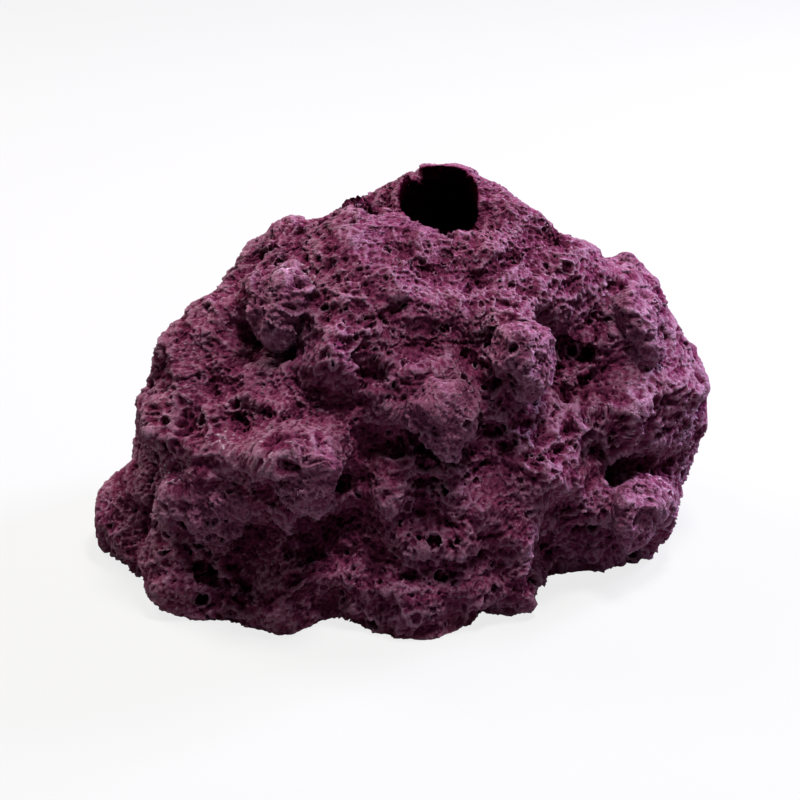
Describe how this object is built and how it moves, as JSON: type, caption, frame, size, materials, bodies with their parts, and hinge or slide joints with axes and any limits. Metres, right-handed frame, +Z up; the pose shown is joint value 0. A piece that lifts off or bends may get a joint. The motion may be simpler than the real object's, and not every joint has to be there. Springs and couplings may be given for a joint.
{
  "type": "aquarium cave ornament",
  "caption": "Volcano-shaped lava-rock cave ornament for an aquarium: a hollow open-bottomed shell with a round crater bore and bonded rubble chunks.",
  "frame": {"origin": "on the surface that the ornament stands on, under the middle of its bounding box", "axes": "+Z up, along the crater's bore; -Y towards the front; +X to the right seen from the front, about along the long side of the base"},
  "size_m": [0.1605, 0.1208, 0.0962],
  "materials": {
    "rock": "matt filled polyester resin, maroon-purple, cast against a lava-rock mould",
    "rubble": "matt filled polyester resin, maroon-purple, cast rubble"
  },
  "bodies": {
    "root": {"rock_shell": "rock", "front_boulder": "rubble", "right_knob": "rubble", "left_knob": "rubble", "shoulder_boulder": "rubble", "rear_stub": "rubble", "ledge_chunk": "rubble", "left_ridge_chunk": "rubble", "right_ledge_chunk": "rubble", "left_flank_chunk": "rubble", "back_boulder": "rubble"}
  },
  "joints": []
}
